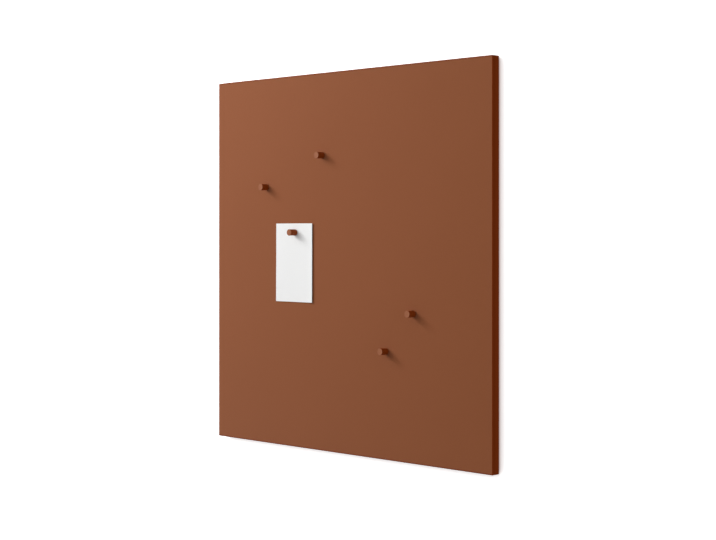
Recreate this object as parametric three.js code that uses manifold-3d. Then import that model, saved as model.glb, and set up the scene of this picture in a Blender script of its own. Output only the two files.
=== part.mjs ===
// A square pinboard for a wall: a cork-linoleum sheet glued to a painted fibreboard panel, hung on a
// pair of hooked aluminium rails in a pocket in its back, with five turned pins and one plain card.
// Millimetres. X runs to the reader's right, Y into the wall and Z up. The origin is the middle of the
// wall rail's back face, where that rail lies on the wall.

import * as THREE from 'three';
import { mergeVertices } from 'three/addons/utils/BufferGeometryUtils.js';
import Module from 'manifold-3d';

const wasm = await Module();
wasm.setup();

// The board: its square, its two layers and how far it stands off the wall
const boardSide = 700;
const cornerRadius = 1.5;
const sheetThickness = 5;
const panelThickness = 12;
const glueLine = 0.2;
const sheetEdgeRadius = 0.6;
const panelEdgeRadius = 0.6;
const standOff = 3;

// The rails: one Z-shaped extrusion, of which the board's length hangs upside down on the wall's length
const railSideInset = 100;
const railTopInset = 40;
const railWall = 1.5;
const flangeHeight = 22;
const lipHeight = 12;
const hookClearance = 0.3;
const unhookSpare = 0.8;
const railHoleRadius = 2.25;
const railHoleCount = 4;
const railHoleEndInset = 70;

// The pocket for the rails, routed into the panel's back
const cutterRadius = 6;
const pocketMargin = 2;

// The screws that hold the board rail, which stop short of the panel's front by the cover
const screwRadius = 1.75;
const screwTip = 2.2;
const screwCover = 1.9;
const screwHeadRadius = 3.5;
const screwHeadHeight = 2.3;
const driveSlotWidth = 0.9;

// The rubber bumpers in the lower corners
const bumperRadius = 6;
const bumperRim = 0.6;
const bumperInset = 30;

// The pins: a turned head with a needle, which stops short of the sheet's back by the cover
const headRadius = 6;
const headLength = 16.5;
const headEdgeRadius = 0.4;
const needleRadius = 0.6;
const needlePoint = 2.6;
const needleSeat = 8;
const needleCover = 0.8;

// The card, and how far below its top edge and to the right of its middle its pin goes through
const cardWidth = 100;
const cardHeight = 148;
const cardThickness = 0.4;
const cardPinDrop = 17;
const cardPinAside = 3;

// The room between pieces that seat on each other, round a screw or needle, and past the end of a cut
const seatGap = 0.3;
const holeClearance = 0.3;
const cutOverrun = 1;

// How finely round forms are divided
const cornerSteps = 5;
const boardEdgeSteps = 4;
const headEdgeSteps = 3;
const filletSteps = 3;
const headSides = 56;
const needleSides = 16;
const screwSides = 24;
const domeSteps = 4;
const bumperSides = 32;

// Small forms as shares: on a rail's wall, on a screw's head, and on its dome
const filletShare = 0.3;
const leadInShare = 0.32;
const drillGrooveShare = 0.2;
const headRimShare = 0.35;
const driveLengthShare = 0.6;
const driveDepthShare = 0.6;

// Where each pin stands, as shares of the board's side from its left and its top edge: the third pin
// holds the card
const cardPinShares = [0.3185, 0.4225];
const pinPlaceShares = [
  [0.2035, 0.2985],
  [0.4225, 0.2185],
  cardPinShares,
  [0.7465, 0.6255],
  [0.6535, 0.724],
];

const colours = {
  linoleum: 0x8f5a40,
  paint: 0x88543b,
  aluminium: 0xc9cbce,
  zinc: 0xb9bcc0,
  steel: 0xcfd1d3,
  rubber: 0x2b2b2d,
  card: 0xf3f3f2,
};

// Depths are counted from the wall towards the reader, so that Y is minus the depth
const hookGap = railWall + 2 * hookClearance;
const railDepth = 2 * railWall + hookGap;
const hookedDepth = railDepth + railWall + hookClearance;
const pocketFloor = hookedDepth + seatGap;
const screwSeat = hookedDepth - railWall - seatGap;
const panelFront = standOff + panelThickness;
const sheetBack = panelFront + glueLine;
const sheetFront = sheetBack + sheetThickness;

// Heights are counted from the middle of the wall rail's flange
const lipTop = flangeHeight / 2 - railWall + lipHeight;
const boardRailHeight = lipTop + seatGap + flangeHeight / 2;
const boardRailTop = boardRailHeight + flangeHeight / 2;
const boardTop = boardRailTop + railTopInset;
const boardMiddle = boardTop - boardSide / 2;
const liftTravel = lipHeight - railWall - seatGap + unhookSpare;
const pocketTop = boardRailTop + pocketMargin;
const pocketBottom = -flangeHeight / 2 - liftTravel - pocketMargin;

const railLength = boardSide - 2 * railSideInset;
const screwLength = panelFront - screwCover - screwSeat;
const needleReach = sheetThickness + seatGap - needleCover;

// Each pin's place in X and Z, and how far its head stands off the sheet: one has the card under it
const pins = pinPlaceShares.map((placeShares) => {
  const [fromLeftShare, fromTopShare] = placeShares;
  const holdsCard = placeShares === cardPinShares;
  return {
    x: (fromLeftShare - 0.5) * boardSide,
    z: boardTop - fromTopShare * boardSide,
    seat: holdsCard ? cardThickness + 2 * seatGap : seatGap,
    holdsCard,
  };
});

// The rails' holes, evenly spaced between the two end insets
const railHoles = Array.from({ length: railHoleCount }, (unused, i) => {
  const span = railLength - 2 * railHoleEndInset;
  return (i / (railHoleCount - 1) - 0.5) * span;
});

const group = new THREE.Group();

function addPiece(name, geometry, colour, roughness, metalness) {
  const material = new THREE.MeshStandardMaterial({ color: colour, roughness, metalness });
  const mesh = new THREE.Mesh(geometry, material);
  mesh.name = name;
  group.add(mesh);
  return mesh;
}

// A solid for cutting: corners at one place become one, and triangles without an area go
function toSolid(geometry) {
  const bare = geometry.clone();
  bare.deleteAttribute('normal');
  bare.deleteAttribute('uv');
  const merged = mergeVertices(bare);
  const triangles = [];
  for (let i = 0; i < merged.index.count; i += 3) {
    const [a, b, c] = merged.index.array.slice(i, i + 3);
    if (a !== b && b !== c && c !== a) {
      triangles.push(a, b, c);
    }
  }
  return new wasm.Manifold(new wasm.Mesh({
    numProp: 3,
    vertProperties: new Float32Array(merged.attributes.position.array),
    triVerts: new Uint32Array(triangles),
  }));
}

// The geometry with every cutter taken out of it
function cut(geometry, cutters) {
  let solid = toSolid(geometry);
  for (const cutter of cutters) {
    solid = solid.subtract(toSolid(cutter));
  }
  const { vertProperties, triVerts } = solid.getMesh();
  const result = new THREE.BufferGeometry();
  result.setAttribute('position', new THREE.BufferAttribute(vertProperties, 3));
  result.setIndex(new THREE.BufferAttribute(triVerts, 1));
  const crisp = result.toNonIndexed();
  crisp.computeVertexNormals();
  return crisp;
}

// A round cutter along Y between two depths
function boreCutter(radius, sides, x, z, fromDepth, toDepth) {
  const cutter = new THREE.CylinderGeometry(radius, radius, toDepth - fromDepth, sides);
  return cutter.translate(x, -(fromDepth + toDepth) / 2, z);
}

// What is turned on the Y axis: its outline runs as [radius, y] from its lowest y to its highest
function turned(outline, sides) {
  return new THREE.LatheGeometry(outline.map(([radius, y]) => new THREE.Vector2(radius, y)), sides);
}

// What is drawn as the reader sees it, with its thickness towards them, is stood up on the wall
function standUp(geometry) {
  return geometry.rotateX(Math.PI / 2);
}

function roundedRectangle(width, height, radius) {
  const right = width / 2 - radius;
  const top = height / 2 - radius;
  const outline = new THREE.Shape();
  outline.absarc(right, top, radius, 0, 0.5 * Math.PI);
  outline.absarc(-right, top, radius, 0.5 * Math.PI, Math.PI);
  outline.absarc(-right, -top, radius, Math.PI, 1.5 * Math.PI);
  outline.absarc(right, -top, radius, 1.5 * Math.PI, 2 * Math.PI);
  return outline;
}

// One layer of the board, lying on the wall: its outer edges are rounded, its inner face is left square
function boardLayer(thickness, edgeRadius) {
  const slab = new THREE.ExtrudeGeometry(roundedRectangle(boardSide, boardSide, cornerRadius), {
    depth: thickness - edgeRadius,
    curveSegments: cornerSteps,
    bevelThickness: edgeRadius,
    bevelSize: edgeRadius,
    bevelOffset: -edgeRadius,
    bevelSegments: boardEdgeSteps,
  });
  const trimSide = boardSide + cutOverrun;
  const trimDepth = edgeRadius + cutOverrun;
  const trim = new THREE.BoxGeometry(trimSide, trimSide, trimDepth).translate(0, 0, -trimDepth / 2);
  return standUp(cut(slab, [trim]));
}

// The sheet, pierced by each needle
function pinSheet() {
  const holes = pins.map(({ x, z, seat }) => {
    const bottom = sheetFront + seat - needleReach - holeClearance;
    return boreCutter(needleRadius + holeClearance, needleSides, x, z, bottom, sheetFront + cutOverrun);
  });
  const layer = boardLayer(sheetThickness, sheetEdgeRadius).translate(0, -sheetBack, boardMiddle);
  return cut(layer, holes);
}

// The panel: a layer with its rounded edges to the wall, the pocket, and the screws' pilot holes
function backingPanel() {
  const layer = boardLayer(panelThickness, panelEdgeRadius).rotateX(Math.PI);
  layer.translate(0, -panelFront, boardMiddle);
  const pocketOutline = roundedRectangle(railLength + 2 * cutterRadius, pocketTop - pocketBottom, cutterRadius);
  const pocket = new THREE.ExtrudeGeometry(pocketOutline, {
    depth: pocketFloor,
    curveSegments: cornerSteps,
    bevelEnabled: false,
  });
  standUp(pocket).translate(0, 0, (pocketTop + pocketBottom) / 2);
  const tip = screwSeat + screwLength + holeClearance;
  const pilots = railHoles.map((x) => (
    boreCutter(screwRadius + holeClearance, screwSides, x, boardRailHeight, pocketFloor - cutOverrun, tip)
  ));
  return cut(layer, [pocket, ...pilots]);
}

// The rails' section, as [depth, height, fillet] at each corner of the wall's one
function railSection() {
  const fillet = filletShare * railWall;
  const leadIn = leadInShare * railWall;
  const groove = drillGrooveShare * railWall;
  const top = flangeHeight / 2;
  const corners = [
    [0, -top, 0],
    [railWall, -top, 0],
    [railWall, -groove, 0],
    [railWall - groove, 0, 0],
    [railWall, groove, 0],
    [railWall, top - railWall, fillet],
    [railDepth, top - railWall, fillet],
    [railDepth, lipTop - leadIn, 0],
    [railDepth - leadIn, lipTop, 0],
    [railDepth - railWall + leadIn, lipTop, 0],
    [railDepth - railWall, lipTop - leadIn, 0],
    [railDepth - railWall, top, fillet],
    [0, top, fillet],
  ];
  const outline = new THREE.Shape();
  corners.forEach(([depth, height, radius], i) => {
    const corner = new THREE.Vector2(depth, height);
    const before = new THREE.Vector2(...corners.at(i - 1));
    const after = new THREE.Vector2(...corners[(i + 1) % corners.length]);
    const start = before.sub(corner).setLength(radius).add(corner);
    const end = after.sub(corner).setLength(radius).add(corner);
    if (i === 0) {
      outline.moveTo(start.x, start.y);
    } else {
      outline.lineTo(start.x, start.y);
    }
    if (radius > 0) {
      outline.quadraticCurveTo(corner.x, corner.y, end.x, end.y);
    }
  });
  return outline;
}

// A length of the extrusion as the wall's rail, with its row of holes through the flange
function railLengthCut() {
  const bar = new THREE.ExtrudeGeometry(railSection(), {
    depth: railLength,
    curveSegments: filletSteps,
    bevelEnabled: false,
  });
  const depthAxis = new THREE.Vector3(0, -1, 0);
  const heightAxis = new THREE.Vector3(0, 0, 1);
  const lengthAxis = new THREE.Vector3(-1, 0, 0);
  bar.applyMatrix4(new THREE.Matrix4().makeBasis(depthAxis, heightAxis, lengthAxis));
  bar.translate(railLength / 2, 0, 0);
  const holes = railHoles.map((x) => (
    boreCutter(railHoleRadius, screwSides, x, 0, -cutOverrun, railWall + cutOverrun)
  ));
  return cut(bar, holes);
}

// A pan-head screw with its head towards the wall and a cross cut into the dome for the driver
function railScrew() {
  const rim = headRimShare * screwHeadHeight;
  const dome = Array.from({ length: domeSteps + 1 }, (unused, i) => {
    const turn = (i / domeSteps) * (Math.PI / 2);
    const radius = i === domeSteps ? 0 : screwHeadRadius * Math.cos(turn);
    return [radius, rim + (screwHeadHeight - rim) * Math.sin(turn)];
  });
  const body = turned([
    [0, -screwLength],
    [screwRadius, screwTip - screwLength],
    [screwRadius, 0],
    [screwHeadRadius, 0],
    ...dome,
  ], screwSides);
  const slotLength = driveLengthShare * 2 * screwHeadRadius;
  const slotDepth = driveDepthShare * screwHeadHeight + cutOverrun;
  const slotMiddle = screwHeadHeight + cutOverrun - slotDepth / 2;
  const slots = [
    new THREE.BoxGeometry(slotLength, slotDepth, driveSlotWidth).translate(0, slotMiddle, 0),
    new THREE.BoxGeometry(driveSlotWidth, slotDepth, slotLength).translate(0, slotMiddle, 0),
  ];
  return cut(body, slots);
}

// A bumper, stuck to the panel, with its rounded rim against the wall
function bumper() {
  return turned([
    [0, seatGap - standOff],
    [bumperRadius, seatGap - standOff],
    [bumperRadius, -bumperRim],
    [bumperRadius - bumperRim, 0],
    [0, 0],
  ], bumperSides);
}

// A pin's head: both rims are rounded, and the needle's seat is drilled into its base
function pinHead() {
  const flatRadius = headRadius - headEdgeRadius;
  const turns = Array.from({ length: headEdgeSteps + 1 }, (unused, i) => (i / headEdgeSteps) * (Math.PI / 2));
  const outerRim = turns.map((turn) => [
    flatRadius + headEdgeRadius * Math.sin(turn),
    headEdgeRadius * (1 - Math.cos(turn)) - headLength,
  ]);
  const baseRim = turns.map((turn) => [
    flatRadius + headEdgeRadius * Math.cos(turn),
    headEdgeRadius * (Math.sin(turn) - 1),
  ]);
  return turned([
    [0, -headLength],
    ...outerRim,
    ...baseRim,
    [needleRadius + holeClearance, 0],
    [needleRadius + holeClearance, -needleSeat - holeClearance],
    [0, -needleSeat - holeClearance],
  ], headSides);
}

function pinNeedle() {
  return turned([
    [0, -needleSeat],
    [needleRadius, -needleSeat],
    [needleRadius, needleReach - needlePoint],
    [0, needleReach],
  ], needleSides);
}

// The card, drawn about the hole that its pin has made
function plainCard() {
  const left = -cardWidth / 2 - cardPinAside;
  const right = left + cardWidth;
  const bottom = cardPinDrop - cardHeight;
  const outline = new THREE.Shape();
  outline.moveTo(left, bottom);
  outline.lineTo(right, bottom);
  outline.lineTo(right, cardPinDrop);
  outline.lineTo(left, cardPinDrop);
  outline.closePath();
  const hole = new THREE.Path();
  hole.absarc(0, 0, needleRadius + holeClearance, 0, 2 * Math.PI, true);
  outline.holes.push(hole);
  return standUp(new THREE.ExtrudeGeometry(outline, {
    depth: cardThickness,
    curveSegments: needleSides,
    bevelEnabled: false,
  }));
}

// The wall's rail, and the board's: the same length turned half round and hooked over the first
addPiece('wall_rail', railLengthCut(), colours.aluminium, 0.4, 0.9);
const boardRail = addPiece('board_rail', railLengthCut(), colours.aluminium, 0.4, 0.9);
boardRail.rotation.x = Math.PI;
boardRail.position.set(0, -hookedDepth, boardRailHeight);

addPiece('pin_sheet', pinSheet(), colours.linoleum, 0.6, 0);
addPiece('backing_panel', backingPanel(), colours.paint, 0.55, 0);

railHoles.forEach((x, i) => {
  const screw = addPiece(`rail_screw_${i + 1}`, railScrew(), colours.zinc, 0.35, 0.9);
  screw.position.set(x, -screwSeat, boardRailHeight);
});

for (const [side, direction] of [['left', -1], ['right', 1]]) {
  const pad = addPiece(`bumper_${side}`, bumper(), colours.rubber, 0.8, 0);
  pad.position.set(direction * (boardSide / 2 - bumperInset), 0, boardTop - boardSide + bumperInset);
}

pins.forEach(({ x, z, seat }, i) => {
  const head = addPiece(`pin_head_${i + 1}`, pinHead(), colours.paint, 0.45, 0);
  const needle = addPiece(`pin_needle_${i + 1}`, pinNeedle(), colours.steel, 0.25, 1);
  for (const piece of [head, needle]) {
    piece.position.set(x, -sheetFront - seat, z);
  }
});

const card = addPiece('card', plainCard(), colours.card, 0.8, 0);
const cardPin = pins.find(({ holdsCard }) => holdsCard);
card.position.set(cardPin.x, -sheetFront - seatGap, cardPin.z);

export default group;
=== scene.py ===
import math

import bmesh
import bpy
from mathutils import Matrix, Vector


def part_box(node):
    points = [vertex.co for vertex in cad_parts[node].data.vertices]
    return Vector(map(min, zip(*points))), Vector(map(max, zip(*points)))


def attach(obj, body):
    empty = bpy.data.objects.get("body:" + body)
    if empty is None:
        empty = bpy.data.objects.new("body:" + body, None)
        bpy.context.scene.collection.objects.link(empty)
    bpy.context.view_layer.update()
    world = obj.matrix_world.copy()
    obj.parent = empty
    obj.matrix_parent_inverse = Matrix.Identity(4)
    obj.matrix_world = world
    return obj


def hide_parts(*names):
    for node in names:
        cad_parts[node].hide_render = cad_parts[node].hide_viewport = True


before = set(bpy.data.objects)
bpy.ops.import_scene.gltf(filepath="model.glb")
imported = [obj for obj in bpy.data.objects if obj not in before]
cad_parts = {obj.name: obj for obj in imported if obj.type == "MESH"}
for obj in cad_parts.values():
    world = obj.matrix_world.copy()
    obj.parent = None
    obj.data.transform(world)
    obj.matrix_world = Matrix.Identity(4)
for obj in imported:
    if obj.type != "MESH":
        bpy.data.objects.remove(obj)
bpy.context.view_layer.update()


# The wall rail is one length of a Z-shaped aluminium extrusion, satin anodised, screwed flat to the wall.
# Lines from the extrusion die run along its whole length, and the anodising is rougher in soft patches.
def new_material(name):
    """A node material that starts as one plain shader."""
    material = bpy.data.materials.new(name)
    material.use_nodes = True
    nodes = material.node_tree.nodes
    return material, nodes, material.node_tree.links, nodes["Principled BSDF"]


def new_group(name, inputs, outputs):
    """An empty shader group: inputs are (name, type, default), outputs (name, type)."""
    group = bpy.data.node_groups.new(name, "ShaderNodeTree")
    for label, kind, value in inputs:
        socket = group.interface.new_socket(label, in_out="INPUT", socket_type=kind)
        if value is not None:
            socket.default_value = value
    for label, kind in outputs:
        group.interface.new_socket(label, in_out="OUTPUT", socket_type=kind)
    entry = group.nodes.new("NodeGroupInput")
    leave = group.nodes.new("NodeGroupOutput")
    return group, group.nodes, group.links, entry.outputs, leave.inputs


def object_space(nodes):
    return nodes.new("ShaderNodeTexCoord").outputs["Object"]


def add_math(nodes, links, operation, *values):
    node = nodes.new("ShaderNodeMath")
    node.operation = operation
    for socket, value in zip(node.inputs, values):
        if isinstance(value, (int, float)):
            socket.default_value = value
        else:
            links.new(value, socket)
    return node.outputs["Value"]


def add_vector_math(nodes, links, operation, first, second):
    node = nodes.new("ShaderNodeVectorMath")
    node.operation = operation
    for socket, value in zip(node.inputs, (first, second)):
        if isinstance(value, tuple):
            socket.default_value = value
        else:
            links.new(value, socket)
    return node.outputs["Vector"]


def add_noise(nodes, links, vector, scale, detail, roughness=0.5):
    node = nodes.new("ShaderNodeTexNoise")
    node.inputs["Detail"].default_value = detail
    node.inputs["Roughness"].default_value = roughness
    if isinstance(scale, (int, float)):
        node.inputs["Scale"].default_value = scale
    else:
        links.new(scale, node.inputs["Scale"])
    links.new(vector, node.inputs["Vector"])
    return node.outputs["Fac"]


def add_mix(nodes, links, amount, first, second):
    node = nodes.new("ShaderNodeMix")
    node.data_type = "RGBA"
    for label, value in (("Factor", amount), ("A", first), ("B", second)):
        kind = "Float" if label == "Factor" else "Color"
        socket = next(s for s in node.inputs if s.identifier == f"{label}_{kind}")
        if isinstance(value, (int, float, tuple)):
            socket.default_value = value
        else:
            links.new(value, socket)
    return next(s for s in node.outputs if s.identifier == "Result_Color")


def add_roughness(nodes, links, shader, pattern, least, spread):
    """Roughness that rises from the least value by up to the spread, as the pattern does."""
    rough = add_math(nodes, links, "MULTIPLY_ADD", pattern, spread, least)
    links.new(rough, shader.inputs["Roughness"])


def add_relief(nodes, links, shader, height, depth):
    """Fine relief of this depth, as a bump."""
    bump = nodes.new("ShaderNodeBump")
    bump.inputs["Strength"].default_value = 1.0
    bump.inputs["Distance"].default_value = depth
    links.new(height, bump.inputs["Height"])
    links.new(bump.outputs["Normal"], shader.inputs["Normal"])


def dress(node_name, material):
    """Gives a CAD piece this material in its one slot."""
    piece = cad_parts[node_name]
    piece.data.materials.clear()
    piece.data.materials.append(material)


# Lines drawn out along one axis, from an extrusion die or a grinding belt
patch_scale = 35.0
patch_spread = 0.14
drawn_lines, nodes, links, given, put = new_group(
    "drawn_lines",
    [("Position", "NodeSocketVector", None), ("Stretch", "NodeSocketVector", (1.0, 1.0, 1.0)),
     ("Scale", "NodeSocketFloat", 900.0)],
    [("Lines", "NodeSocketFloat"), ("Patches", "NodeSocketFloat")],
)
stretched = add_vector_math(nodes, links, "MULTIPLY", given["Position"], given["Stretch"])
links.new(add_noise(nodes, links, stretched, given["Scale"], detail=3.0, roughness=0.65), put["Lines"])
links.new(add_noise(nodes, links, given["Position"], patch_scale, detail=2.0), put["Patches"])


def drawn_metal(name, colour, shade, stretch, scale, roughness, depth):
    """A metal with fine lines along the axis whose stretch is small, or specks where none is."""
    material, nodes, links, shader = new_material(name)
    lines = nodes.new("ShaderNodeGroup")
    lines.node_tree = drawn_lines
    links.new(object_space(nodes), lines.inputs["Position"])
    lines.inputs["Stretch"].default_value = stretch
    lines.inputs["Scale"].default_value = scale
    links.new(add_mix(nodes, links, lines.outputs["Lines"], colour, shade), shader.inputs["Base Color"])
    add_roughness(nodes, links, shader, lines.outputs["Patches"], least=roughness, spread=patch_spread)
    add_relief(nodes, links, shader, lines.outputs["Lines"], depth)
    shader.inputs["Metallic"].default_value = 1.0
    return material


rail_aluminium = drawn_metal(
    "rail_aluminium",
    colour=(0.64, 0.65, 0.67, 1),
    shade=(0.54, 0.55, 0.57, 1),
    stretch=(0.02, 1.0, 1.0),
    scale=1400.0,
    roughness=0.3,
    depth=0.00002,
)
dress("wall_rail", rail_aluminium)


# The backing panel is 12 mm fibreboard in the board's colour, sprayed on its edges and rolled on its back.
# The pocket for the rails is routed after painting, so its walls and floor show the bare board.
edge_paint = (0.242, 0.039, 0.0054, 1)
edge_paint_dark = (0.204, 0.031, 0.0042, 1)
rolled_paint = (0.262, 0.074, 0.0235, 1)
rolled_paint_dark = (0.19, 0.047, 0.0135, 1)
bare_board = (0.46, 0.33, 0.21, 1)
bare_board_dark = (0.36, 0.25, 0.15, 1)
paint_roughness = 0.5
bare_board_extra = 0.3
paint_skin = 0.00015
pocket_past_rail = 0.007
pocket_bottom = -0.0245
pocket_top = 0.0465
cloud_scale = 7.0
fine_share = 0.6

mottle, nodes, links, given, put = new_group(
    "mottle",
    [("Position", "NodeSocketVector", None), ("Colour", "NodeSocketColor", (0.5, 0.5, 0.5, 1)),
     ("Fleck", "NodeSocketColor", (0.4, 0.4, 0.4, 1)), ("Grain size", "NodeSocketFloat", 0.001),
     ("Fleck amount", "NodeSocketFloat", 0.2), ("Cloud amount", "NodeSocketFloat", 0.2)],
    [("Colour", "NodeSocketColor"), ("Grain", "NodeSocketFloat"), ("Cloud", "NodeSocketFloat")],
)
grain_scale = add_math(nodes, links, "DIVIDE", 1.0, given["Grain size"])
cells = nodes.new("ShaderNodeTexVoronoi")
links.new(grain_scale, cells.inputs["Scale"])
links.new(given["Position"], cells.inputs["Vector"])
cell_tone = nodes.new("ShaderNodeSeparateColor")
links.new(cells.outputs["Color"], cell_tone.inputs["Color"])
fine = add_noise(nodes, links, given["Position"], grain_scale, detail=4.0, roughness=0.6)
cloud = add_noise(nodes, links, given["Position"], cloud_scale, detail=3.0)
fleck_mask = add_math(nodes, links, "MULTIPLY", cell_tone.outputs["Red"], given["Fleck amount"])
cloud_mask = add_math(nodes, links, "MULTIPLY", cloud, given["Cloud amount"])
fine_amount = add_math(nodes, links, "MULTIPLY", given["Fleck amount"], fine_share)
blend = add_math(nodes, links, "ADD", fleck_mask, cloud_mask)
blend = add_math(nodes, links, "MULTIPLY_ADD", fine, fine_amount, blend)
links.new(add_mix(nodes, links, blend, given["Colour"], given["Fleck"]), put["Colour"])
links.new(fine, put["Grain"])
links.new(cloud, put["Cloud"])


def add_mottle(nodes, links, position, colour, fleck, grain_size, fleck_amount, cloud_amount):
    """A colour with flecks of another one in it, and its grain and clouds as patterns from 0 to 1."""
    node = nodes.new("ShaderNodeGroup")
    node.node_tree = mottle
    links.new(position, node.inputs["Position"])
    node.inputs["Colour"].default_value = colour
    node.inputs["Fleck"].default_value = fleck
    node.inputs["Grain size"].default_value = grain_size
    node.inputs["Fleck amount"].default_value = fleck_amount
    node.inputs["Cloud amount"].default_value = cloud_amount
    return node.outputs


panel_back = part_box("backing_panel")[1].y
pocket_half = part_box("wall_rail")[1].x + pocket_past_rail
panel_paint, nodes, links, shader = new_material("panel_paint")
place = object_space(nodes)
sprayed = add_mottle(nodes, links, place, edge_paint, edge_paint_dark,
                     grain_size=0.0012, fleck_amount=0.12, cloud_amount=0.2)
rolled = add_mottle(nodes, links, place, rolled_paint, rolled_paint_dark,
                    grain_size=0.0016, fleck_amount=0.55, cloud_amount=0.35)
board = add_mottle(nodes, links, place, bare_board, bare_board_dark,
                   grain_size=0.0009, fleck_amount=0.8, cloud_amount=0.3)
axes = nodes.new("ShaderNodeSeparateXYZ")
links.new(place, axes.inputs["Vector"])
on_back = add_math(nodes, links, "GREATER_THAN", axes.outputs["Y"], panel_back - paint_skin)
behind_paint = add_math(nodes, links, "LESS_THAN", axes.outputs["Y"], panel_back - paint_skin)
across = add_math(nodes, links, "ABSOLUTE", axes.outputs["X"])
beside = add_math(nodes, links, "LESS_THAN", across, pocket_half)
above = add_math(nodes, links, "GREATER_THAN", axes.outputs["Z"], pocket_bottom)
below = add_math(nodes, links, "LESS_THAN", axes.outputs["Z"], pocket_top)
in_pocket = add_math(nodes, links, "MULTIPLY", behind_paint, beside)
in_pocket = add_math(nodes, links, "MULTIPLY", in_pocket, above)
in_pocket = add_math(nodes, links, "MULTIPLY", in_pocket, below)
painted = add_mix(nodes, links, on_back, sprayed["Colour"], rolled["Colour"])
links.new(add_mix(nodes, links, in_pocket, painted, board["Colour"]), shader.inputs["Base Color"])
rough = add_math(nodes, links, "MULTIPLY_ADD", in_pocket, bare_board_extra, paint_roughness)
add_roughness(nodes, links, shader, sprayed["Cloud"], least=rough, spread=0.1)
add_relief(nodes, links, shader, sprayed["Grain"], depth=0.00006)
shader.inputs["Specular IOR Level"].default_value = 0.01
dress("backing_panel", panel_paint)


# The pin sheet is 5 mm cork linoleum, coloured right through, glued over the panel's whole front.
# Its calendered face is matt with a fine grain of ground cork. Its colour has a painted sheen mixed in, so
# it is paler than the eased, trimmed edges, which keep the plain deeper colour, and a narrow rim of the face
# is painted darker as shade.
# The face colours are the linoleum's colour with a painted sheen mixed in; the edge colours are without it.
face_colour_and_sheen = (0.276, 0.083, 0.0265, 1)
face_colour_dark_and_sheen = (0.231, 0.068, 0.0215, 1)
edge_colour = (0.232, 0.038, 0.0053, 1)
edge_colour_dark = (0.196, 0.031, 0.0042, 1)
# Painted shade along the face's rim, darkest at its edge, wider at the top and bottom than at the sides.
painted_rim_shade_colour = (0.165, 0.027, 0.0038, 1)
side_shade_rim = 0.0016
top_shade_rim = 0.0034
cork_grain = 0.0011
cork_relief = 0.00008
eased_radius = 0.0012
eased_steps = 6
corner_radius = 0.0015
corner_steps = 6
flat_margin = 0.0002
needle_play = 0.0003
hole_sides = 24
sharp_angle = math.radians(40)
pin_numbers = range(1, 6)

sheet_low, sheet_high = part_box("pin_sheet")
sheet_middle = (sheet_low + sheet_high) / 2
sheet_half = (sheet_high - sheet_low) / 2

linoleum, nodes, links, shader = new_material("linoleum")
place = object_space(nodes)
cork_and_sheen = add_mottle(nodes, links, place, face_colour_and_sheen, face_colour_dark_and_sheen,
                  grain_size=cork_grain, fleck_amount=0.25, cloud_amount=0.25)
axes = nodes.new("ShaderNodeSeparateXYZ")
links.new(add_vector_math(nodes, links, "SUBTRACT", place, tuple(sheet_middle)), axes.inputs["Vector"])
# This mask darkens a narrow band along the face's edges: painted shade on the eased edges.
inner = 1.0
for axis, half, shade_rim_width in (("X", sheet_half.x, side_shade_rim), ("Z", sheet_half.z, top_shade_rim)):
    out = add_math(nodes, links, "ABSOLUTE", axes.outputs[axis])
    inside = add_math(nodes, links, "SUBTRACT", half, out)
    inner = add_math(nodes, links, "MINIMUM", add_math(nodes, links, "DIVIDE", inside, shade_rim_width), inner)
painted_rim_shade = add_math(nodes, links, "SUBTRACT", 1.0, inner)
links.new(add_mix(nodes, links, painted_rim_shade, cork_and_sheen["Colour"], painted_rim_shade_colour), shader.inputs["Base Color"])
add_roughness(nodes, links, shader, cork_and_sheen["Cloud"], least=0.52, spread=0.12)
add_relief(nodes, links, shader, cork_and_sheen["Grain"], cork_relief)
shader.inputs["Specular IOR Level"].default_value = 0.02
shader.inputs["Sheen Weight"].default_value = 0.28
shader.inputs["Sheen Roughness"].default_value = 0.5

linoleum_edge, nodes, links, shader = new_material("linoleum_edge")
edge_mottle = add_mottle(nodes, links, object_space(nodes), edge_colour, edge_colour_dark,
                   grain_size=cork_grain, fleck_amount=0.4, cloud_amount=0.25)
links.new(edge_mottle["Colour"], shader.inputs["Base Color"])
add_roughness(nodes, links, shader, edge_mottle["Cloud"], least=0.5, spread=0.12)
add_relief(nodes, links, shader, edge_mottle["Grain"], cork_relief)
shader.inputs["Specular IOR Level"].default_value = 0.01


def sheet_ring(mesh, inset, depth):
    """A loop of points round the sheet, this far inside its outline, at this depth."""
    radius = corner_radius - inset
    ring = []
    for corner, (side_x, side_z) in enumerate(((1, 1), (-1, 1), (-1, -1), (1, -1))):
        for step in range(corner_steps + 1):
            angle = math.pi / 2 * (corner + step / corner_steps)
            x = sheet_middle.x + side_x * (sheet_half.x - corner_radius) + radius * math.cos(angle)
            z = sheet_middle.z + side_z * (sheet_half.z - corner_radius) + radius * math.sin(angle)
            ring.append(mesh.verts.new((x, depth, z)))
    return ring


def round_ring(mesh, centre, radius, depth, sides):
    """A circle of points about the Y axis through this centre, at this depth."""
    ring = []
    for side in range(sides):
        turn = 2 * math.pi * side / sides
        x = centre.x + radius * math.cos(turn)
        z = centre.z + radius * math.sin(turn)
        ring.append(mesh.verts.new((x, depth, z)))
    return ring


def needle_hole(mesh, number, depth):
    low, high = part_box(f"pin_needle_{number}")
    radius = (high.x - low.x) / 2 + needle_play
    return round_ring(mesh, (low + high) / 2, radius, depth, hole_sides)


def join_rings(mesh, first, second, slot=0):
    """A band of faces between two loops that have as many points, in this material slot."""
    for k in range(len(first)):
        after = (k + 1) % len(first)
        mesh.faces.new((first[k], first[after], second[after], second[k])).material_index = slot


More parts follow.
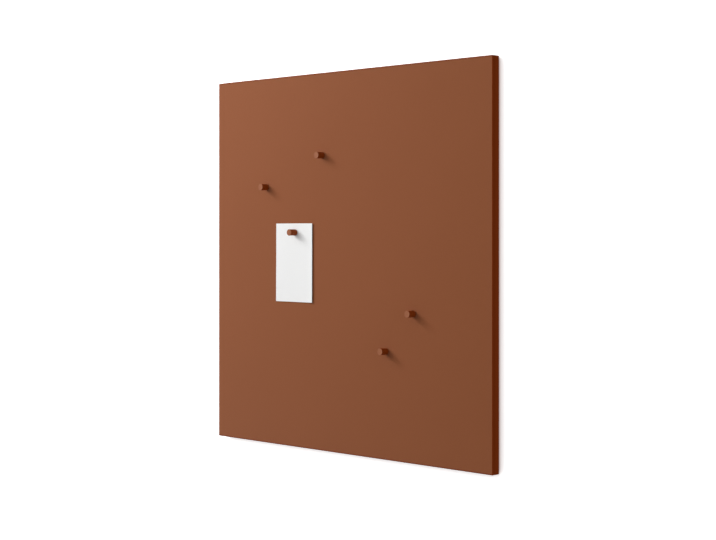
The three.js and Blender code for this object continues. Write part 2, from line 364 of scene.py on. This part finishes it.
def fill_between(mesh, loops):
    """Closes a flat face between its outer loop and the holes in it."""
    edges = []
    for loop in loops:
        for k in range(len(loop)):
            pair = (loop[k - 1], loop[k])
            edges.append(mesh.edges.get(pair) or mesh.edges.new(pair))
    bmesh.ops.triangle_fill(mesh, use_beauty=True, edges=edges)


def mesh_object(name, mesh):
    """Turns a finished bmesh into an object, smooth but for its sharp edges."""
    bmesh.ops.recalc_face_normals(mesh, faces=mesh.faces)
    data = bpy.data.meshes.new(name)
    mesh.to_mesh(data)
    mesh.free()
    data.shade_smooth()
    data.set_sharp_from_angle(angle=sharp_angle)
    piece = bpy.data.objects.new(name, data)
    bpy.context.scene.collection.objects.link(piece)
    return piece


mesh = bmesh.new()
rings = [sheet_ring(mesh, eased_radius + flat_margin, sheet_low.y)]
for step in range(eased_steps + 1):
    turn = math.pi / 2 * step / eased_steps
    inset = eased_radius * (1 - math.sin(turn))
    rings.append(sheet_ring(mesh, inset, sheet_low.y + eased_radius * (1 - math.cos(turn))))
rings.append(sheet_ring(mesh, 0, sheet_high.y))
face_slot = 0
edge_slot = 1
for step, (first, second) in enumerate(zip(rings, rings[1:])):
    join_rings(mesh, first, second, face_slot if step == 0 else edge_slot)
front_holes = [needle_hole(mesh, number, sheet_low.y) for number in pin_numbers]
back_holes = [needle_hole(mesh, number, sheet_high.y) for number in pin_numbers]
for first, second in zip(front_holes, back_holes):
    join_rings(mesh, first, second, edge_slot)
fill_between(mesh, [rings[0]] + front_holes)
fill_between(mesh, [rings[-1]] + back_holes)
faced_sheet = mesh_object("faced_sheet", mesh)
faced_sheet.data.materials.append(linoleum)
faced_sheet.data.materials.append(linoleum_edge)
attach(faced_sheet, "board")
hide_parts("pin_sheet")


# The board rail is the same extrusion turned upside down, screwed into the pocket with four zinc-plated
# pan-head screws, so that its lip drops behind the wall rail's.
zinc_plate = drawn_metal(
    "zinc_plate",
    colour=(0.58, 0.58, 0.6, 1),
    shade=(0.47, 0.47, 0.48, 1),
    stretch=(1.0, 1.0, 1.0),
    scale=500.0,
    roughness=0.28,
    depth=0.00001,
)
dress("board_rail", rail_aluminium)
for number in range(1, 5):
    dress(f"rail_screw_{number}", zinc_plate)


# The bumpers are soft rubber pads stuck to the panel's lower corners, as thick as the board stands off.
# Each is moulded with a rounded rim and a shallow dish in the face that meets the wall.
rubber = (0.03, 0.03, 0.032, 1)
rubber_bloom = (0.055, 0.053, 0.05, 1)
pad_rim = 0.0007
pad_dish = 0.0003
dish_radius_and_depth_shares = ((0, 1), (0.4, 0.85), (0.7, 0))
turned_sides = 96
quarter_steps = 6
quarter = [math.pi / 2 * step / quarter_steps for step in range(quarter_steps + 1)]

bumper_rubber, nodes, links, shader = new_material("bumper_rubber")
skin = add_mottle(nodes, links, object_space(nodes), rubber, rubber_bloom,
                  grain_size=0.0006, fleck_amount=0.4, cloud_amount=0.5)
links.new(skin["Colour"], shader.inputs["Base Color"])
add_roughness(nodes, links, shader, skin["Cloud"], least=0.6, spread=0.15)
add_relief(nodes, links, shader, skin["Grain"], depth=0.00003)


def turned_piece(name, centre, outline):
    """A round piece about the Y axis. Its outline runs from tip to tip, as (radius, depth) points."""
    mesh = bmesh.new()
    rings = [round_ring(mesh, centre, radius, depth, turned_sides) for radius, depth in outline[1:-1]]
    for first, second in zip(rings, rings[1:]):
        join_rings(mesh, first, second)
    for ring, (_, depth) in ((rings[0], outline[0]), (rings[-1], outline[-1])):
        tip = mesh.verts.new((centre.x, depth, centre.z))
        for side in range(turned_sides):
            mesh.faces.new((ring[side - 1], ring[side], tip))
    return mesh_object(name, mesh)


for side in ("left", "right"):
    low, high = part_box(f"bumper_{side}")
    radius = (high.x - low.x) / 2
    flat = radius - pad_rim
    outline = [(out * flat, high.y - down * pad_dish) for out, down in dish_radius_and_depth_shares]
    outline += [(flat + pad_rim * math.sin(turn), high.y - pad_rim * (1 - math.cos(turn)))
                for turn in quarter]
    outline += [(radius, low.y), (0, low.y)]
    pad = turned_piece(f"pad_{side}", (low + high) / 2, outline)
    pad.data.materials.append(bumper_rubber)
    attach(pad, "board")
    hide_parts(f"bumper_{side}")


# Each pin is a turned cylinder, lacquered in the board's colour, with a hardened needle pressed into it.
# Both rims are rounded. Facing off has left a faint dish in the cap. The cap's colour is paler than the
# shank's, with a painted sheen mixed in.
shank_lacquer = (0.238, 0.043, 0.0045, 1)
shank_lacquer_dark = (0.21, 0.036, 0.0039, 1)
# The cap colours are the lacquer with a painted sheen mixed in; the shank colours are without it.
cap_lacquer_and_sheen = (0.325, 0.117, 0.054, 1)
cap_lacquer_dark_and_sheen = (0.3, 0.105, 0.047, 1)
lacquer_grain = 0.0007
head_rim = 0.0004
cap_dish = 0.00006
cap_skin = 0.0002
cap_radius_shares = (0, 0.25, 0.5, 0.75, 0.9)

needle_steel = drawn_metal(
    "needle_steel",
    colour=(0.68, 0.68, 0.69, 1),
    shade=(0.58, 0.58, 0.6, 1),
    stretch=(1.0, 0.05, 1.0),
    scale=4000.0,
    roughness=0.12,
    depth=0.000005,
)
pin_lacquer, nodes, links, shader = new_material("pin_lacquer")
place = object_space(nodes)
shank = add_mottle(nodes, links, place, shank_lacquer, shank_lacquer_dark,
                   grain_size=lacquer_grain, fleck_amount=0.1, cloud_amount=0.2)
cap = add_mottle(nodes, links, place, cap_lacquer_and_sheen, cap_lacquer_dark_and_sheen,
                 grain_size=lacquer_grain, fleck_amount=0.1, cloud_amount=0.2)
innermost_cap = max(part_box(f"pin_head_{number}")[0].y for number in pin_numbers)
axes = nodes.new("ShaderNodeSeparateXYZ")
links.new(place, axes.inputs["Vector"])
# The cap faces get the colour with the painted sheen.
sheen_on_cap = add_math(nodes, links, "LESS_THAN", axes.outputs["Y"], innermost_cap + cap_skin)
links.new(add_mix(nodes, links, sheen_on_cap, shank["Colour"], cap["Colour"]), shader.inputs["Base Color"])
add_roughness(nodes, links, shader, cap["Cloud"], least=0.42, spread=0.1)
add_relief(nodes, links, shader, cap["Grain"], depth=0.00001)
shader.inputs["Specular IOR Level"].default_value = 0.12

for number in pin_numbers:
    low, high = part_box(f"pin_head_{number}")
    flat = (high.x - low.x) / 2 - head_rim
    outline = [(share * flat, low.y + cap_dish * (1 - share * share)) for share in cap_radius_shares]
    outline += [(flat + head_rim * math.sin(turn), low.y + head_rim * (1 - math.cos(turn)))
                for turn in quarter]
    outline += [(flat + head_rim * math.cos(turn), high.y - head_rim * (1 - math.sin(turn)))
                for turn in quarter]
    outline.append((0, high.y))
    head = turned_piece(f"turned_head_{number}", (low + high) / 2, outline)
    head.data.materials.append(pin_lacquer)
    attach(head, f"pin_{number}")
    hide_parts(f"pin_head_{number}")
    dress(f"pin_needle_{number}", needle_steel)


# The card is one plain white postcard of heavy uncoated stock, held by a pin through its top edge.
# It has bowed a little about the pin, so that its sides, and its right one most, stand off the board.
card_white = (0.885, 0.885, 0.881, 1)
card_fibre = (0.83, 0.83, 0.823, 1)
right_lift = 0.0018
left_lift_top = 0.0001
left_lift_bottom = 0.0005
foot_lift = 0.00035
hole_play = 0.0001
cells_beside = 14
cells_below = 28
cells_above = 4
collar_cells = 4
collar_in_holes = 2.5

card_stock, nodes, links, shader = new_material("card_stock")
fibre = add_mottle(nodes, links, object_space(nodes), card_white, card_fibre,
                   grain_size=0.0008, fleck_amount=0.3, cloud_amount=0.3)
links.new(fibre["Colour"], shader.inputs["Base Color"])
add_relief(nodes, links, shader, fibre["Grain"], depth=0.00004)
shader.inputs["Roughness"].default_value = 0.8

card_low, card_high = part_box("card")
needle_low, needle_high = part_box("pin_needle_3")
pin_x = (needle_low.x + needle_high.x) / 2
pin_z = (needle_low.z + needle_high.z) / 2
pin_hole = (needle_high.x - needle_low.x) / 2 + hole_play


def card_bow(x, z):
    """How far the card stands off where it lies flat round its pin."""
    down = (card_high.z - z) / (card_high.z - card_low.z)
    if x > pin_x:
        across = (x - pin_x) / (card_high.x - pin_x)
        side_lift = right_lift
    else:
        across = (pin_x - x) / (pin_x - card_low.x)
        side_lift = left_lift_top + (left_lift_bottom - left_lift_top) * down
    return side_lift * across ** 2 + foot_lift * down ** 2


def card_lines(low, hole, high, cells_before, cells_after):
    """Grid lines from low to high, close together in the square collar round the hole."""
    first = hole - collar_in_holes * pin_hole
    last = hole + collar_in_holes * pin_hole
    lines = [low + (first - low) * step / cells_before for step in range(cells_before)]
    lines += [first + (last - first) * step / collar_cells for step in range(collar_cells + 1)]
    lines += [last + (high - last) * step / cells_after for step in range(1, cells_after + 1)]
    return lines


columns = card_lines(card_low.x, pin_x, card_high.x, cells_beside, cells_beside)
rows = card_lines(card_low.z, pin_z, card_high.z, cells_below, cells_above)
last_column = len(columns) - 1
last_row = len(rows) - 1

# The way round the collar, in cells from its lower left corner
collar = [(0, k) for k in range(collar_cells)]
collar += [(k, collar_cells) for k in range(collar_cells)]
collar += [(collar_cells, collar_cells - k) for k in range(collar_cells)]
collar += [(collar_cells - k, 0) for k in range(collar_cells)]

mesh = bmesh.new()
loops_of_sides = []
for flat_depth in (card_low.y, card_high.y):
    grid = [[mesh.verts.new((x, flat_depth - card_bow(x, z), z)) for z in rows] for x in columns]
    for i in range(last_column):
        for j in range(last_row):
            if i - cells_beside in range(collar_cells) and j - cells_below in range(collar_cells):
                continue
            mesh.faces.new((grid[i][j], grid[i + 1][j], grid[i + 1][j + 1], grid[i][j + 1]))
    hole = []
    for i, j in collar:
        angle = math.atan2(j - collar_cells / 2, i - collar_cells / 2)
        x = pin_x + pin_hole * math.cos(angle)
        z = pin_z + pin_hole * math.sin(angle)
        hole.append(mesh.verts.new((x, flat_depth - card_bow(x, z), z)))
    join_rings(mesh, [grid[cells_beside + i][cells_below + j] for i, j in collar], hole)
    outer = [grid[i][0] for i in range(last_column)]
    outer += [grid[last_column][j] for j in range(last_row)]
    outer += [grid[i][last_row] for i in range(last_column, 0, -1)]
    outer += [grid[0][j] for j in range(last_row, 0, -1)]
    loops_of_sides.append((outer, hole))
for front_loop, back_loop in zip(*loops_of_sides):
    join_rings(mesh, front_loop, back_loop)
for vert in [vert for vert in mesh.verts if not vert.link_faces]:
    mesh.verts.remove(vert)
bowed_card = mesh_object("bowed_card", mesh)
bowed_card.data.materials.append(card_stock)
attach(bowed_card, "hanging_card")
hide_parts("card")


# The room is a white wall that the rail lies on and a pale floor far below the board.
# Each shows only to the camera, from its front, with the light and shadow that fall on it, and glows white,
# with painted shade near the board mixed into the glow.
def room_plane(name, half_width, half_height, centre, turn, glow):
    bpy.ops.mesh.primitive_plane_add(size=2, location=centre, rotation=turn)
    plane = bpy.context.object
    plane.name = name
    plane.scale = (half_width, half_height, 1)
    for way in ("visible_diffuse", "visible_glossy", "visible_transmission", "visible_shadow"):
        setattr(plane, way, False)
    material, nodes, links, shader = new_material(name)
    shader.inputs["Base Color"].default_value = (1, 1, 1, 1)
    shader.inputs["Roughness"].default_value = 1.0
    shader.inputs["Specular IOR Level"].default_value = 0.0
    shader.inputs["Emission Strength"].default_value = glow
    # The glow's colour darkens where the plane lies near the board: painted shade in the nook.
    nook_painted_shade = nodes.new("ShaderNodeAmbientOcclusion")
    nook_painted_shade.inputs["Distance"].default_value = 0.27
    links.new(nook_painted_shade.outputs["Color"], shader.inputs["Emission Color"])
    clear = nodes.new("ShaderNodeBsdfTransparent")
    sides = nodes.new("ShaderNodeMixShader")
    links.new(nodes.new("ShaderNodeNewGeometry").outputs["Backfacing"], sides.inputs["Fac"])
    links.new(shader.outputs["BSDF"], sides.inputs[1])
    links.new(clear.outputs["BSDF"], sides.inputs[2])
    links.new(sides.outputs["Shader"], nodes["Material Output"].inputs["Surface"])
    plane.data.materials.append(material)


wall_gap = 0.001
floor_height = -2.2
room_plane("white_wall", half_width=6.0, half_height=4.0, centre=(0, wall_gap, 0),
           turn=(math.pi / 2, 0, 0), glow=0.95)
room_plane("pale_floor", half_width=6.0, half_height=6.0, centre=(0, 0, floor_height),
           turn=(0, 0, 0), glow=0.93)


# The light is a soft studio's: an even grey from all round, three lamps from the upper left for soft
# shadows, a faint one from the right for the board's side, and one from behind for its back.
ambient = 0.34
world = bpy.data.worlds.new("studio")
bpy.context.scene.world = world
world.use_nodes = True
nodes = world.node_tree.nodes
links = world.node_tree.links
rays = nodes.new("ShaderNodeLightPath")
seen = add_math(nodes, links, "MAXIMUM", rays.outputs["Is Camera Ray"], rays.outputs["Is Transmission Ray"])
seen = add_math(nodes, links, "MAXIMUM", seen, rays.outputs["Is Glossy Ray"])
seen_level = add_math(nodes, links, "MULTIPLY_ADD", seen, 1.0 - ambient, ambient)
links.new(seen_level, nodes["Background"].inputs["Strength"])
nodes["Background"].inputs["Color"].default_value = (1, 1, 1, 1)

face_middle = Vector((sheet_middle.x, sheet_low.y, sheet_middle.z))


def soft_lamp(name, offset, diameter, level):
    """A round lamp facing the board's middle, where a face turned to it gets this level of light from it."""
    data = bpy.data.lights.new(name, "AREA")
    data.shape = "DISK"
    data.size = diameter
    data.energy = level * math.pi * math.pi * Vector(offset).length_squared
    lamp = bpy.data.objects.new(name, data)
    lamp.location = face_middle + Vector(offset)
    lamp.rotation_euler = (-Vector(offset)).to_track_quat("-Z", "Y").to_euler()
    lamp.visible_camera = False
    bpy.context.scene.collection.objects.link(lamp)


soft_lamp("key_near", offset=(-0.75, -1.9, 0.85), diameter=2.2, level=0.25)
soft_lamp("key_middle", offset=(-1.43, -1.43, 0.95), diameter=1.5, level=0.365)
soft_lamp("key_far", offset=(-2.08, -1.12, 1.24), diameter=0.9, level=0.4)
soft_lamp("side_fill", offset=(2.4, -0.5, 0.2), diameter=1.6, level=0.1)
soft_lamp("back_fill", offset=(-1.3, 2.4, 1.9), diameter=2.4, level=0.75)


# The camera stands to the right of the board and level with it, with the frame shifted down a little.
# Its place is given in sides of the board, from the middle of its face.
focal_pixels = 1495.0
image_width_pixels = 716.0
horizon_offset_pixels = 38.48
camera_offset_sides = (2.752, -2.764, 0.080)
camera_turn = math.radians(44.316)
board_side = sheet_high.x - sheet_low.x
camera_data = bpy.data.cameras.new("camera")
camera_data.lens = focal_pixels / image_width_pixels * camera_data.sensor_width
camera_data.shift_y = -horizon_offset_pixels / image_width_pixels
camera = bpy.data.objects.new("camera", camera_data)
camera.location = face_middle + Vector(camera_offset_sides) * board_side
camera.rotation_euler = (math.pi / 2, 0, camera_turn)
bpy.context.scene.collection.objects.link(camera)
bpy.context.scene.camera = camera
bpy.context.scene.view_settings.view_transform = "Standard"
